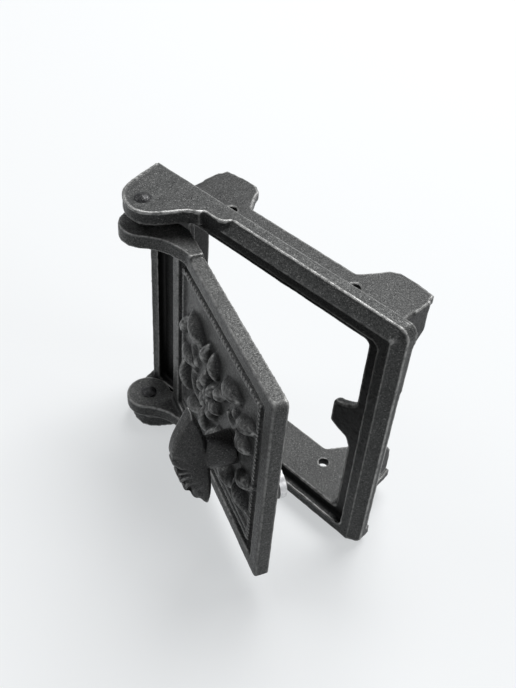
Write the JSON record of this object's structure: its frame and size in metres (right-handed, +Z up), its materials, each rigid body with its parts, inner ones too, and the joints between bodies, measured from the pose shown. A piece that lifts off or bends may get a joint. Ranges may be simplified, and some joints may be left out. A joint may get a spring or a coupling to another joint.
{
  "type": "stove clean-out door",
  "caption": "Cast iron stove clean-out door ajar in its frame, with a floral relief, riveted hinge, shell blade handle, turning latch and masonry anchor plates.",
  "frame": {"origin": "middle of the frame's underside, where it stands on the floor", "axes": "+X along the frame from the hinge side to the free side, +Y through the frame into the wall, +Z up"},
  "size_m": [0.1619, 0.1114, 0.146],
  "materials": {
    "frame_casting": "rough as cast, dark grey",
    "door_casting": "rough as cast, dark grey",
    "handle_casting": "as cast, rubbed smooth",
    "rivet_steel": "dark, hammered head",
    "tongue_steel": "bright zinc-like steel"
  },
  "bodies": {
    "frame": {"frame": "frame_casting", "hinge_rivet_upper": "rivet_steel", "hinge_rivet_lower": "rivet_steel"},
    "door": {"door_leaf": "door_casting"},
    "latch": {"handle": "handle_casting", "latch_tongue": "tongue_steel"}
  },
  "joints": [
    {"name": "door_swing", "type": "hinge", "parent": "frame", "child": "door", "pos_m": [-0.0616, -0.02305, 0], "axis": [0, 0, 1], "range_deg": [-150, 22.4]},
    {"name": "latch_turn", "type": "hinge", "parent": "door", "child": "latch", "pos_m": [0.02966, -0.04044, 0.064], "axis": [-0.3811, -0.9245, 0], "range_deg": [-76, 40]}
  ]
}
